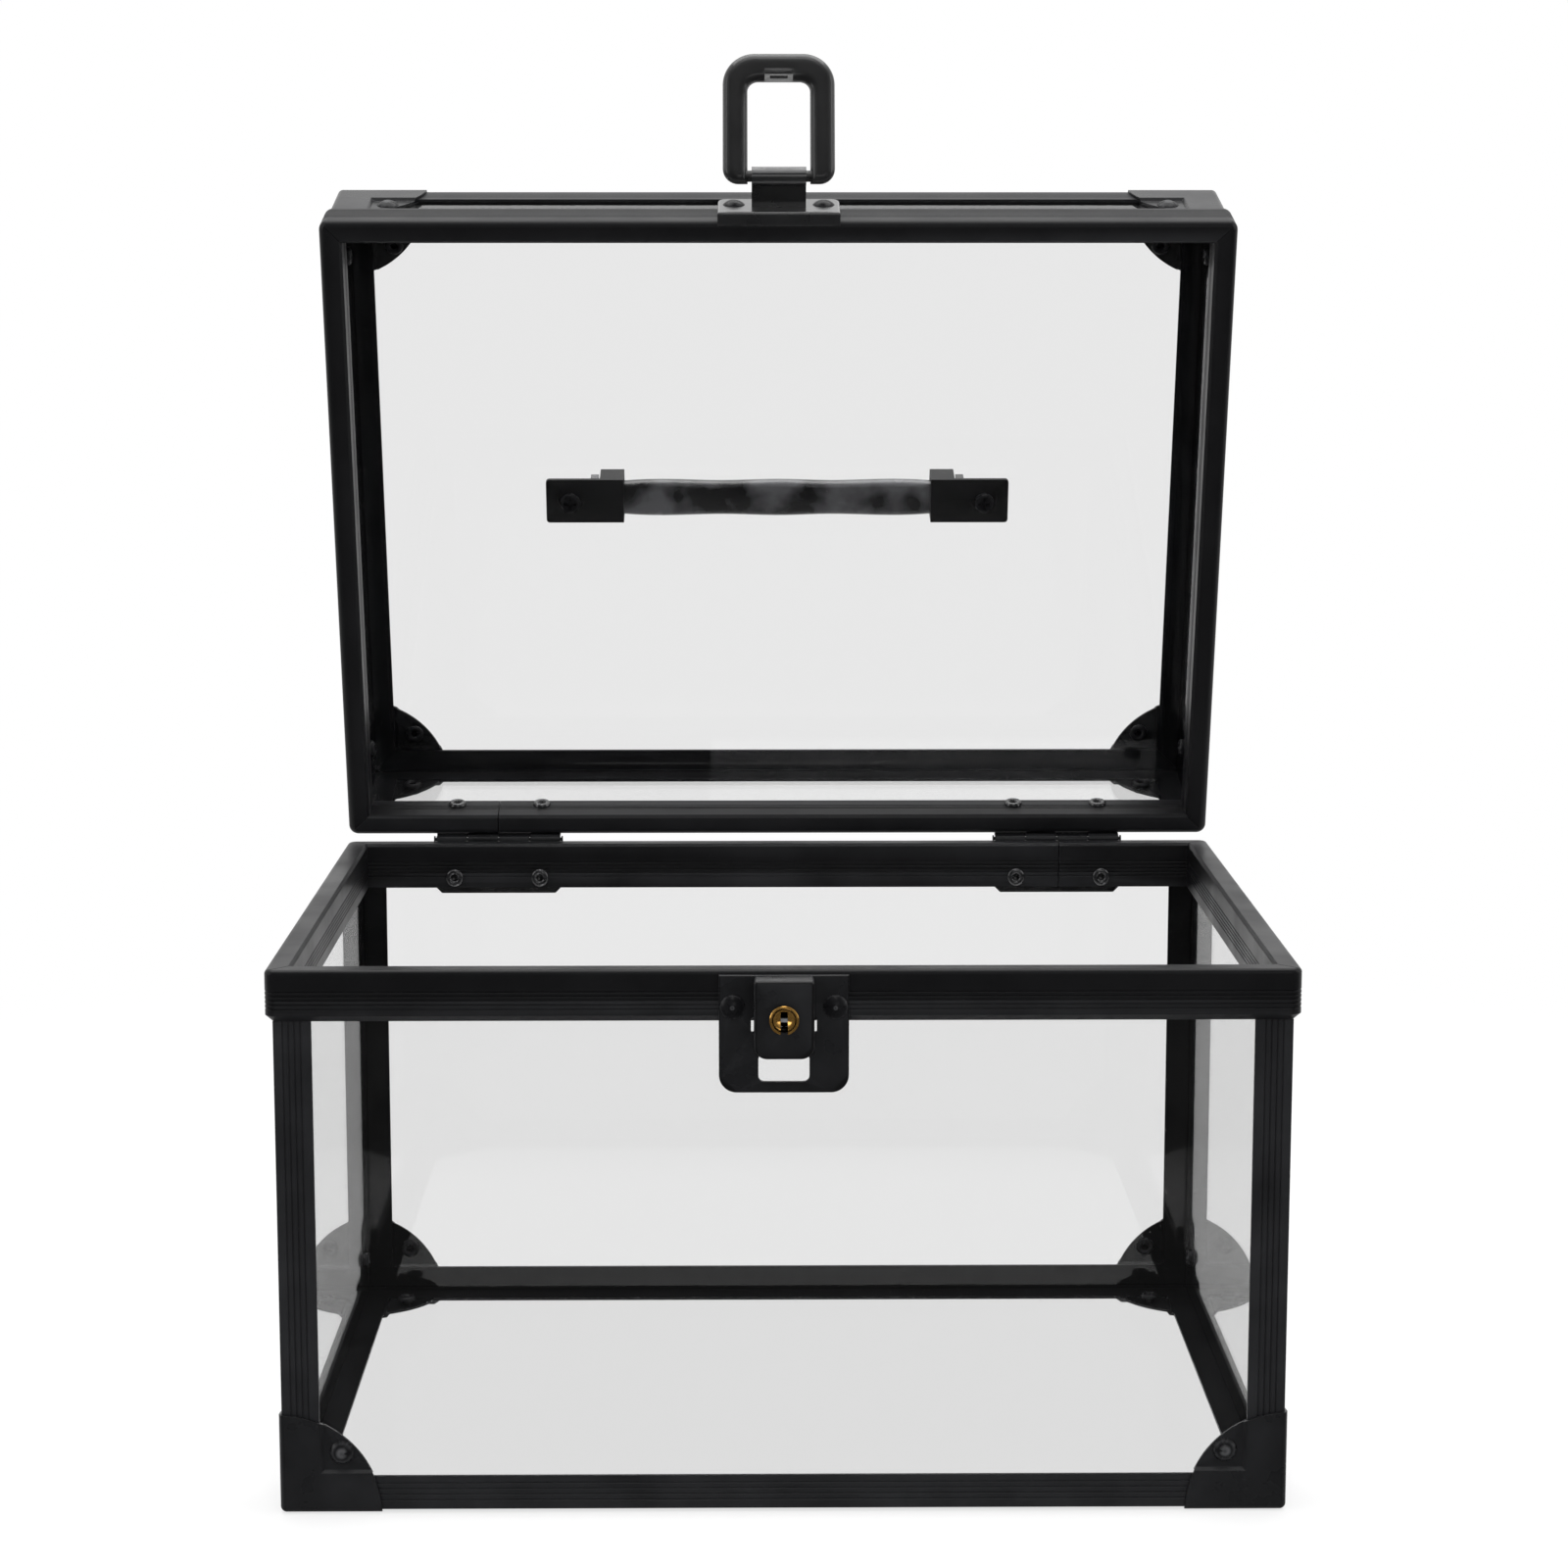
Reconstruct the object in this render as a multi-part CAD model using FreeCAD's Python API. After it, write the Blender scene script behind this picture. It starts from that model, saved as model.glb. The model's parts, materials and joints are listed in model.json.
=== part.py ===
import FreeCAD, Part
import math
import os
from FreeCAD import Vector

os.makedirs("parts", exist_ok=True)

# A lockable clear collection box: acrylic panels in a black aluminium frame, with pressed steel
# corner caps, a hinged lid, a hasp that swings over a key lock, and a carrying handle on the lid.
# Millimetres, +Z up, front towards -Y. The pieces are drawn about the base's middle, with the lid shut
# and the hasp latched. They are then turned to the open pose they are kept in, and moved so that the
# origin is on the ground under the middle of the open box's outline.

# Overall sizes
rim_width = 260.0  # outside of the rims, left to right
rim_depth = 189.5  # outside of the rims, front to back
base_height = 142.0  # ground to the base rim's mating face
lid_height = 43.3  # lid rim's mating face to the top of the caps
closing_gap = 0.4  # between the two rims when the lid is shut
lid_opening = 75.7  # degrees that the lid stands open
hasp_opening = 124.8  # degrees that the hasp is swung up from its latched place

# Panels and edge angles
panel_thickness = 2.0
post_leg = 9.6  # legs of the corner posts
edge_leg = 8.8  # legs of the other edge angles
angle_wall = 0.9
angle_groove_start = 2.4  # first groove from the angle's outer corner
angle_groove_pitch = 1.5
angle_groove_end = 1.6  # plain band along the leg's edge
groove_width = 0.5
groove_depth = 0.25

# Rims
base_rim_height = 13.3
lid_rim_height = 16.9
lid_rim_inner_height = 11.6  # the inner leg of the lid's rim is shorter
rim_overhang = 1.9  # outer face of the rim beyond the angles
rim_inner_wall = 1.6
rim_web = 2.5  # over the panels' edges
base_rim_edge_radius = 1.2
lid_rim_edge_radius = 2.0
rim_foot_bevel = 1.7  # height of the bevel from the outer face back to the angles
rim_inner_bevel = 0.8
rim_groove_start = 5.6  # first groove from the mating face
rim_groove_pitch = 1.1
rim_groove_end = 3.0  # plain band at each leg's foot
slot_clearance = 0.1
mitre_line = 0.25  # width and depth of the fold line at each corner
seam_gap = 0.2  # where the two ends of a folded rim meet

# Corner caps
cap_radius = 26.0
cap_wall = 0.8
cap_step_run = 0.8  # slope of the step down to the panel
cap_angle_clearance = 0.2
cap_rim_gap = 0.3
cap_rivet_inset = 16.0  # rivets from the cap's outer edges

# Rivets
rivet_radius = 1.5
rivet_hole_clearance = 0.05
rivet_head_radius = 3.15
rivet_head_height = 1.4
floor_rivet_sink = 0.1  # heads under the floor stay this far inside the cap's own face
rivet_tail_radius = 2.7
rivet_tail_height = 1.1
rivet_bore_radius = 0.9
rivet_bore_depth = 1.6

# Hinges
hinge_inset = 45.3  # middle of a hinge from the rim's end
hinge_width = 37.4
hinge_leaf_wall = 1.2
hinge_leaf_length = 16.0  # from the mating face
hinge_leaf_chamfer = 1.5
hinge_knuckle_radius = 1.1
hinge_knuckle_count = 4
hinge_knuckle_gap = 0.4
hinge_rim_clearance = 0.1
hinge_pin_radius = 0.55
hinge_pin_clearance = 0.05
hinge_pin_head_radius = 1.0
hinge_pin_head_height = 0.4
hinge_rivet_spacing = 25.7
base_hinge_rivet_drop = 10.2  # from the base's mating face
lid_hinge_rivet_rise = 8.6  # from the lid's mating face

# Hasp plate, folded over the lid rim's rounded edge
lip_reach = 1.3  # of the folded edge, from the rim's outer face
lip_gap = 0.1  # folded edge to the mating face
hasp_plate_width = 34.7
hasp_plate_height = 16.0
hasp_plate_wall = 2.7
hasp_plate_corner = 2.5
hasp_plate_round = 0.9
hasp_rivet_spacing = 25.5
hasp_rivet_rise = 8.8

# Hasp loop, with its pivot bar in the rolled knuckle of its plate
hasp_pivot_reach = 11.85  # pivot from the rim's face
hasp_pivot_rise = 4.6  # pivot above the lid rim's mating face
hasp_latched_tilt = 5.0  # degrees that the latched loop leans in
hasp_bar_radius = 1.6
hasp_bar_clearance = 0.05
hasp_knuckle_width = 15.4
hasp_knuckle_wall = 1.0
loop_width = 31.7
loop_side_bar = 7.0
loop_inner_reach = 27.4  # pivot to the far bar's inner edge
loop_far_bar = 8.0
loop_near_reach = 2.2  # side bars beyond the pivot
loop_thickness = 4.6
loop_edge_round = 2.1
loop_far_corner = 9.0
loop_near_corner = 4.4
loop_inner_corner = 3.0
catch_width = 8.0  # tab that points in from the far bar
catch_wall = 1.6
catch_slot_width = 5.0
catch_slot_length = 2.4

# Lock
lock_plate_width = 32.6
lock_plate_top = 1.1  # below the base rim's mating face
lock_plate_bottom = 31.2
lock_plate_wall = 1.2
lock_plate_corner = 4.5
lock_plate_round = 0.4
lock_rivet_spacing = 25.8
lock_rivet_drop = 9.2
cover_width = 15.1
cover_top = 1.2  # below the base rim's mating face
cover_bottom = 21.1
cover_depth = 7.0
cover_wall = 1.0
cover_corner = 3.4  # at its foot
cover_top_corner = 0.9
cover_edge_round = 0.8
window_width = 12.8
window_height = 7.3
window_corner = 1.5
slit_width = 0.7
slit_corner = 0.3
slit_height = 3.7
slit_drop = 13.8  # middle of the slits below the mating face
plug_drop = 10.9  # plug below the base rim's mating face
plug_flange_radius = 3.7
plug_flange_height = 0.7
plug_flange_gap = 0.3
plug_radius = 3.15
plug_clearance = 0.05
plug_neck_radius = 2.0
plug_groove_radius = 2.75
plug_groove_width = 0.3
plug_groove_depth = 0.3
keyway_width = 1.8
keyway_top = 2.2  # above the plug's axis
keyway_depth = 2.6
wafer_height = 0.9
wafer_set_back = 0.35
wafer_length = 1.2
wafer_clearance = 0.02
cam_radius = 4.6
cam_wall = 1.0
cam_gap = 0.4  # behind the cover
cam_bore_clearance = 0.02
crank_radius = 3.4  # and so the bolt's travel in a quarter turn
crank_pin_radius = 0.8
bolt_wall = 1.2
bolt_gap = 0.3
bolt_slot_play = 0.2
bolt_slot_lead = 0.7  # the crank pin runs this far ahead of the bolt in mid turn
bolt_top_room = 4.0  # bolt's upper end below the cover's top
bolt_flange_foot = 4.0  # flanges above the cover's lower edge when locked
bolt_tongue_width = 4.2
bolt_tongue_rest = 0.4  # tongue above the cover's lower edge when unlocked

# Handle
bracket_length = 21.5
bracket_width = 13.6
bracket_base = 1.5
bracket_corner = 1.0
handle_length = 140.3  # over both brackets
handle_set_back = 2.0  # handle behind the lid's middle
collar_length = 7.2
collar_overhang = 2.0  # beyond the bracket's base
collar_wall = 1.4
collar_round = 1.2
screw_inset = 7.4  # screws from the handle's ends
boss_radius = 4.2
boss_height = 6.0
boss_round = 1.5
screw_radius = 1.5
screw_length = 6.0
screw_clearance = 0.05
screw_head_radius = 3.0
screw_head_height = 1.8
screw_head_round = 0.9
screw_recess_length = 3.6
screw_recess_width = 0.8
screw_recess_depth = 0.9
strap_width = 11.2  # where it swells
strap_waist = 10.4
strap_end_width = 10.2
strap_swell_inset = 12.8  # outer swellings from the collars
strap_waist_offset = 15.7  # waists from the strap's middle
strap_thickness = 4.5
strap_round = 1.8
strap_play = 0.3
strap_lift = 3.5
strap_stop_width = 13.0
strap_stop_length = 2.4
strap_stop_gap = 0.4

# Places that follow from the sizes
rim_wall = rim_overhang + angle_wall  # the rim's outer leg
rim_thickness = rim_wall + panel_thickness + rim_inner_wall
half_width = rim_width / 2
half_depth = rim_depth / 2
angle_x = half_width - rim_overhang  # outer faces of the angles
angle_y = half_depth - rim_overhang
panel_x = angle_x - angle_wall  # outer faces of the panels
panel_y = angle_y - angle_wall
cap_edge_radius = 2 * cap_wall
floor_rivet_height = angle_wall - floor_rivet_sink
rivet_hole_radius = rivet_radius + rivet_hole_clearance
mating_z = base_height + closing_gap  # the lid rim's mating face, shut
top_z = mating_z + lid_height - cap_wall - angle_wall  # outer face of the lid's top panel, shut
hinge_x = half_width - hinge_inset
hinge_y = half_depth + hinge_knuckle_radius + hinge_rim_clearance
hinge_z = base_height + closing_gap / 2
hinge_axis = Vector(0, hinge_y, hinge_z)
hasp_y = -half_depth - hasp_pivot_reach
hasp_z = mating_z + hasp_pivot_rise
hasp_axis = Vector(0, hasp_y, hasp_z)
plate_face_y = -half_depth - lock_plate_wall  # outer face of the lock plate
hasp_face_y = -half_depth - hasp_plate_wall  # outer face of the hasp plate
cover_face_y = plate_face_y - cover_depth
plug_z = base_height - plug_drop
screw_x = handle_length / 2 - screw_inset
collar_start = handle_length / 2 - bracket_length - collar_overhang
collar_end = collar_start + collar_length
base_rim_sizes = (base_rim_height, base_rim_height, base_rim_edge_radius)  # outer leg, inner leg, rounded edge
lid_rim_sizes = (lid_rim_height, lid_rim_inner_height, lid_rim_edge_radius)
opening_turn = Vector(-1, 0, 0)  # lid and hasp both open about this direction
x_axis = Vector(1, 0, 0)
y_axis = Vector(0, 1, 0)
z_axis = Vector(0, 0, 1)
origin = Vector(0, 0, 0)
far = 2 * (rim_width + rim_depth + base_height)  # longer than any piece, for cutting


def box(low, high):
    size = Vector(*high) - Vector(*low)
    return Part.makeBox(size.x, size.y, size.z, Vector(*low))


def rod(start, direction, radius, length):
    return Part.makeCylinder(radius, length, Vector(*start), direction)


def outline(points):
    return Part.Face(Part.makePolygon(points + [points[0]]))


def rounded_rectangle(length, width, radius):
    """A face in XY about the origin, with arcs at its corners."""
    x = length / 2
    y = width / 2
    k = radius * (1 - math.sqrt(0.5))
    edges = []
    for turn in range(4):
        across, along = (x, y) if turn % 2 == 0 else (y, x)
        start = Vector(across, along - radius, 0)
        end = Vector(across - radius, along, 0)
        arc = Part.Arc(start, Vector(across - k, along - k, 0), end).toShape()
        line = Part.makeLine(Vector(across, radius - along, 0), start)
        for edge in (line, arc):
            edge.rotate(origin, z_axis, 90 * turn)
            edges.append(edge)
    return Part.Face(Part.Wire(edges))


def mirrored(shape, normal):
    return shape.mirror(origin, normal)


def four_corners(shape):
    """A front left corner piece and its three mirror images."""
    right = mirrored(shape, x_axis)
    return {
        "front_left": shape,
        "front_right": right,
        "rear_left": mirrored(shape, y_axis),
        "rear_right": mirrored(right, y_axis),
    }


def grooved(start, along, inward, leg, first, pitch, end):
    """Points of a straight line from start with V grooves cut into it, as many as the leg has room for."""
    points = []
    for n in range(math.floor((leg - end - first) / pitch) + 1):
        middle = start + along * (first + n * pitch)
        points.append(middle - along * (groove_width / 2))
        points.append(middle + inward * groove_depth)
        points.append(middle + along * (groove_width / 2))
    return points


# Edge angles


def angle_section(leg):
    """Section of an edge angle in XY, its outer corner at the origin and its legs along +X and +Y."""
    sizes = (leg, angle_groove_start, angle_groove_pitch, angle_groove_end)
    points = [origin]
    points += grooved(origin, x_axis, y_axis, *sizes)
    points += [Vector(leg, 0, 0), Vector(leg, angle_wall, 0)]
    points += [Vector(angle_wall, angle_wall, 0), Vector(angle_wall, leg, 0), Vector(0, leg, 0)]
    points += reversed(grooved(origin, y_axis, x_axis, *sizes))
    return outline(points)


def mitred_sides(section):
    """Four bars round a rectangle, mitred at the corners. section(reach) is the front bar's section."""
    sides = {}
    for n, name in enumerate(("front", "right", "rear", "left")):
        span, reach = (rim_width, half_depth) if n % 2 == 0 else (rim_depth, half_width)
        bar = section(reach).extrude(Vector(span, 0, 0))
        bar.translate(Vector(-span / 2, 0, 0))
        corner = Vector(-span / 2, -reach, -far)
        inside = Vector(half_depth - span / 2, half_depth - reach, -far)
        opposite = [Vector(-corner.x, corner.y, -far), Vector(-inside.x, inside.y, -far)]
        trim = outline([corner] + opposite + [inside])
        bar = bar.common(trim.extrude(Vector(0, 0, 2 * far)))
        bar.rotate(origin, z_axis, 90 * n)
        sides[name] = bar
    return sides


def bottom_edge_section(reach):
    """Section of a bottom edge angle, on the outside of the wall and under the floor."""
    face = angle_section(edge_leg)
    face.rotate(origin, Vector(1, 1, 1), 120)
    face.translate(Vector(0, rim_overhang - reach, cap_wall))
    return face


# Rims


def rim_points(height, outer_leg, inner_leg, edge_radius):
    """A rim's section as points (0, inset, z): up its outer leg, and then down its inner leg and back."""
    foot = height - outer_leg
    inner_foot = height - inner_leg
    down = Vector(0, 0, -1)
    grooves = (rim_groove_start, rim_groove_pitch, rim_groove_end)
    outer = [Vector(0, rim_wall - slot_clearance, foot), Vector(0, rim_overhang, foot)]
    outer += [Vector(0, 0, foot + rim_foot_bevel)]
    outer += reversed(grooved(Vector(0, 0, height), down, y_axis, outer_leg, *grooves))
    outer += [Vector(0, 0, height - edge_radius)]
    inner = [Vector(0, rim_thickness - rim_inner_bevel, height)]
    inner += [Vector(0, rim_thickness, height - rim_inner_bevel)]
    inner += grooved(Vector(0, rim_thickness, height), down, -y_axis, inner_leg, *grooves)
    inner += [Vector(0, rim_thickness, inner_foot), Vector(0, rim_thickness - rim_inner_wall, inner_foot)]
    inner += [Vector(0, rim_thickness - rim_inner_wall, height - rim_web)]
    inner += [Vector(0, rim_wall - slot_clearance, height - rim_web)]
    return outer, inner


def rim_face(outer, rest, height, edge_radius, reach):
    """A rim section as a face, with the rounded edge between the outer leg's points and the rest."""
    k = edge_radius * (1 - math.sqrt(0.5))
    start = outer[-1]
    end = Vector(0, edge_radius, height)
    arc = Part.Arc(start, Vector(0, k, height - k), end).toShape()
    lines = Part.makePolygon([end] + rest + outer).Edges
    face = Part.Face(Part.Wire([arc] + lines))
    face.translate(Vector(0, -reach, 0))
    return face


def rim(height, sizes, seam_x):
    """One channel folded round the panels' upper edges, its ends meeting at seam_x on the rear side."""
    outer_leg, inner_leg, edge_radius = sizes
    outer, inner = rim_points(height, outer_leg, inner_leg, edge_radius)
    sides = mitred_sides(lambda reach: rim_face(outer, inner, height, edge_radius, reach))
    core = [Vector(0, rim_wall, height), Vector(0, rim_wall, height - rim_web)]
    core += [Vector(0, rim_wall - slot_clearance, height - rim_web)]
    bend = rim_face(outer, core, height, edge_radius, half_depth)
    bend_x = half_width - rim_wall
    bend.translate(Vector(bend_x, 0, 0))
    bend = bend.revolve(Vector(bend_x, rim_wall - half_depth, 0), z_axis, 90)
    notch_foot = height - 2 * outer_leg
    notch = box((bend_x, -half_depth, notch_foot), (half_width, rim_wall - half_depth, 2 * height))
    line_length = rim_thickness * math.sqrt(2)
    line = box((-line_length, -mitre_line / 2, height - mitre_line), (0, mitre_line / 2, height + mitre_line))
    line.rotate(origin, z_axis, -45)
    line.translate(Vector(half_width, -half_depth, 0))
    bends = four_corners(mirrored(bend, x_axis)).values()
    notches = four_corners(mirrored(notch, x_axis)).values()
    lines = list(four_corners(mirrored(line, x_axis)).values())
    bars = [side.cut(Part.makeCompound(list(notches))) for side in sides.values()]
    ring = bars[0].multiFuse(bars[1:] + list(bends))
    seam = box((seam_x - seam_gap / 2, 0, 0), (seam_x + seam_gap / 2, 2 * half_depth, 2 * height))
    return ring.cut(Part.makeCompound(lines + [seam])).removeSplitter()


# Corner caps


def cap(rim_foot):
    """A three-lobed cap for the front left corner, stepped down from the angles to the panels."""
    layer = cap_wall + angle_wall
    lobe = Part.makeCylinder(cap_radius, layer, origin, z_axis, 90)
    leg = cap_wall + max(post_leg, edge_leg) + cap_angle_clearance
    step = leg + cap_wall
    lip = step - cap_step_run
    reach = 2 * cap_radius
    pocket = Part.makeWedge(lip, 0, lip, step, step, reach, angle_wall, reach, reach, reach)
    angle_room = box((cap_wall, cap_wall, cap_wall), (reach, leg, layer))
    angle_room = angle_room.fuse(box((cap_wall, cap_wall, cap_wall), (leg, reach, layer)))
    hole = rod((cap_rivet_inset, cap_rivet_inset, 0), z_axis, rivet_hole_radius, layer)
    lobes = [turned(lobe, n) for n in range(3)]
    block = lobes[0].multiFuse(lobes[1:]).removeSplitter()
    corner_edges = [e for e in block.Edges if is_corner_edge(e)]
    block = block.makeFillet(cap_edge_radius, corner_edges)
    for n in range(3):
        block = block.cut(Part.makeCompound([turned(s, n) for s in (pocket, hole)]))
        block = block.cut(turned(angle_room, n))
    stop = rim_foot - cap_rim_gap
    block = block.cut(box((-reach, -reach, stop), (reach, reach, far)))
    block.translate(Vector(-angle_x - cap_wall, -angle_y - cap_wall, 0))
    return block


def turned(shape, n):
    """A copy turned about the corner's diagonal, so that XY faces become YZ and then ZX faces."""
    copy = shape.copy()
    copy.rotate(origin, Vector(1, 1, 1), 120 * n)
    return copy


def is_corner_edge(edge):
    """True for the three straight outer edges that meet in the cap's corner."""
    ends = [v.Point for v in edge.Vertexes]
    return len(ends) == 2 and min(p.Length for p in ends) < 1e-6 and abs(edge.Length - cap_radius) < 1e-6


# Rivets


def rivet(seat, outward, grip, crown=rivet_head_height):
    """A dome-headed tubular rivet through grip, with its head on seat and its rolled tail inside."""
    ball = (rivet_head_radius**2 + crown**2) / (2 * crown)
    slope = math.asin(rivet_head_radius / ball) / 2
    bulge = Vector(ball * math.sin(slope), 0, ball * math.cos(slope) - ball + crown)
    tail = -grip
    middle = (rivet_tail_radius + rivet_bore_radius) / 2
    tail_rim = Vector(rivet_tail_radius, 0, tail)
    bore_rim = Vector(rivet_bore_radius, 0, tail)
    bore_end = tail + rivet_bore_depth
    roll = Part.Arc(tail_rim, Vector(middle, 0, tail - rivet_tail_height), bore_rim).toShape()
    head_rim = Vector(rivet_head_radius, 0, 0)
    head = Part.Arc(Vector(0, 0, crown), bulge, head_rim).toShape()
    sides = Part.makePolygon([head_rim, Vector(rivet_radius, 0, 0), Vector(rivet_radius, 0, tail), tail_rim])
    bore = [bore_rim, Vector(rivet_bore_radius, 0, bore_end), Vector(0, 0, bore_end), Vector(0, 0, crown)]
    bore = Part.makePolygon(bore)
    face = Part.Face(Part.Wire([head] + sides.Edges + [roll] + bore.Edges))
    solid = face.revolve(origin, z_axis, 360)
    solid.Placement = FreeCAD.Placement(Vector(*seat), FreeCAD.Rotation(z_axis, outward))
    return solid


def rivet_hole(seat, outward):
    return Part.makeCylinder(rivet_hole_radius, far, Vector(*seat) + outward * far / 2, -outward)


# A tray: the base, and upside down the lid


def cap_rivet_places():
    """Seat, outward direction and head height of the front left cap's rivets."""
    x = cap_rivet_inset - angle_x - cap_wall
    y = cap_rivet_inset - angle_y - cap_wall
    floor = [((x, y, angle_wall), -z_axis, floor_rivet_height)]
    front = [((x, -panel_y - cap_wall, cap_rivet_inset), -y_axis, rivet_head_height)]
    side = [((-panel_x - cap_wall, y, cap_rivet_inset), -x_axis, rivet_head_height)]
    return floor + front + side


def tray_panels(height):
    floor_z = cap_wall + angle_wall
    wall_z = floor_z + panel_thickness
    top = height - rim_web
    inner_x = panel_x - panel_thickness
    inner_y = panel_y - panel_thickness
    return {
        "floor": box((-panel_x, -panel_y, floor_z), (panel_x, panel_y, wall_z)),
        "front": box((-panel_x, -panel_y, wall_z), (panel_x, -inner_y, top)),
        "rear": box((-panel_x, inner_y, wall_z), (panel_x, panel_y, top)),
        "left": box((-panel_x, -inner_y, wall_z), (-inner_x, inner_y, top)),
        "right": box((inner_x, -inner_y, wall_z), (panel_x, inner_y, top)),
    }


def tray(height, rim_sizes, seam_x):
    """Every piece of an open tray that stands on its caps, with its rim's mating face at height."""
    pieces = {}
    grip = cap_wall + panel_thickness
    rivets = []
    holes = []
    for seat, outward, crown in cap_rivet_places():
        rivets += four_corners(rivet(seat, outward, grip, crown)).values()
        holes += four_corners(rod(seat, -outward, rivet_hole_radius, 2 * grip)).values()
    for name, panel in tray_panels(height).items():
        pieces[name + "_panel"] = panel.cut(Part.makeCompound(holes))
    pieces["rim"] = rim(height, rim_sizes, seam_x)
    rim_foot = height - rim_sizes[0]
    post_foot = cap_wall + edge_leg
    post = angle_section(post_leg).extrude(Vector(0, 0, rim_foot - post_foot))
    post.translate(Vector(-angle_x, -angle_y, post_foot))
    for name, shape in four_corners(post).items():
        pieces["post_" + name] = shape
    for name, shape in mitred_sides(bottom_edge_section).items():
        pieces["edge_" + name] = shape
    for name, shape in four_corners(cap(rim_foot)).items():
        pieces["cap_" + name] = shape
    pieces["cap_rivets"] = Part.makeCompound(rivets)
    return pieces


def inverted(shape):
    """A tray's piece turned into the shut lid's."""
    lid = mirrored(shape, z_axis)
    lid.translate(Vector(0, 0, mating_z + lid_height))
    return lid


# Hinges


def knuckle_spans():
    """Start and end of each knuckle from the hinge's left end. The base has the first, the lid the second."""
    length = (hinge_width - (hinge_knuckle_count - 1) * hinge_knuckle_gap) / hinge_knuckle_count
    starts = [n * (length + hinge_knuckle_gap) for n in range(hinge_knuckle_count)]
    return [(s - hinge_width / 2, s + length - hinge_width / 2) for s in starts]


def hinge_leaf(first, rivet_drop):
    """The base leaf (first = 0) at x = 0, or the lid leaf (first = 1) turned over the mating plane."""
    inside = half_depth
    outside = half_depth + hinge_leaf_wall
    half = hinge_width / 2
    low = hinge_z - closing_gap / 2 - hinge_leaf_length
    cut = hinge_leaf_chamfer
    points = [(-half, hinge_z), (-half, low + cut), (cut - half, low)]
    points += [(-x, z) for x, z in reversed(points)]
    leaf = outline([Vector(x, inside, z) for x, z in points]).extrude(Vector(0, hinge_leaf_wall, 0))
    room = hinge_knuckle_radius + hinge_knuckle_gap
    for n, (start, end) in enumerate(knuckle_spans()):
        if n % 2 == first:
            leaf = leaf.fuse(rod((start, hinge_y, hinge_z), x_axis, hinge_knuckle_radius, end - start))
        else:
            gap = hinge_knuckle_gap
            low_corner = (start - gap, inside - gap, hinge_z - room)
            leaf = leaf.cut(box(low_corner, (end + gap, outside + gap, hinge_z + room)))
    bore_radius = hinge_pin_radius + hinge_pin_clearance
    leaf = leaf.cut(rod((-hinge_width, hinge_y, hinge_z), x_axis, bore_radius, 2 * hinge_width))
    holes = [rivet_hole(seat, y_axis) for seat in hinge_rivet_seats(0, rivet_drop)]
    leaf = leaf.cut(Part.makeCompound(holes)).removeSplitter()
    if first == 1:
        leaf = leaf.mirror(Vector(0, 0, hinge_z), z_axis)
    return leaf


def hinge_rivet_seats(x, drop):
    """Seats of a base leaf's two rivets at drop below the mating face, for a hinge in the middle of x."""
    z = base_height - drop
    y = half_depth + hinge_leaf_wall
    return [(x + side * hinge_rivet_spacing / 2, y, z) for side in (-1, 1)]


def hinge_pin():
    """A pin with a head outside each end knuckle."""
    half = hinge_width / 2 + hinge_knuckle_gap
    pin = rod((-half, hinge_y, hinge_z), x_axis, hinge_pin_radius, 2 * half)
    for start in (-half - hinge_pin_head_height, half):
        pin = pin.fuse(rod((start, hinge_y, hinge_z), x_axis, hinge_pin_head_radius, hinge_pin_head_height))
    return pin.removeSplitter()


# Hasp and lock


def front_plate(width, start, end, corner, front_y, back_y):
    """A plate on the lid's front, from start to end above the mating face, its far corners rounded."""
    shape = front_prism(rounded_rectangle(width, 2 * end, corner), mating_z, far)
    return shape.common(box((-width, front_y, mating_z + start), (width, back_y, mating_z + end)))


def softened(plate, front_y, edge_round):
    """A plate with the edges of its front face rounded."""
    front = [face for face in plate.Faces if abs(face.CenterOfMass.y - front_y) < 1e-6]
    return plate.makeFillet(edge_round, front[0].Edges)


def hasp_rivet_seats():
    z = mating_z + hasp_rivet_rise
    return [(side * hasp_rivet_spacing / 2, hasp_face_y, z) for side in (-1, 1)]


def hasp_plate():
    """The hasp's plate, with a strap that goes out and ends in a roll round the loop's bar."""
    sizes = (hasp_plate_width, lip_gap, hasp_plate_height, hasp_plate_corner)
    plate = front_plate(*sizes, hasp_face_y, lip_reach - half_depth)
    bend = lid_rim_edge_radius
    bend_z = mating_z + bend
    rim_room = box((-half_width, -half_depth, bend_z), (half_width, half_depth, bend_z + hasp_plate_height))
    edge_room = rod((-half_width, bend - half_depth, bend_z), x_axis, bend, rim_width)
    plate = softened(plate.cut(rim_room).cut(edge_room), hasp_face_y, hasp_plate_round)
    start = -hasp_knuckle_width / 2
    bore = hasp_bar_radius + hasp_bar_clearance
    roll = bore + hasp_knuckle_wall
    strap = box((start, hasp_y, hasp_z + bore), (-start, hasp_face_y, hasp_z + roll))
    strap = strap.fuse(rod((start, hasp_y, hasp_z), x_axis, roll, hasp_knuckle_width))
    hollow = rod((2 * start, hasp_y, hasp_z), x_axis, bore, 2 * hasp_knuckle_width)
    holes = [rivet_hole(seat, -y_axis) for seat in hasp_rivet_seats()]
    return plate.fuse(strap.cut(hollow)).cut(Part.makeCompound(holes)).removeSplitter()


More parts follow.
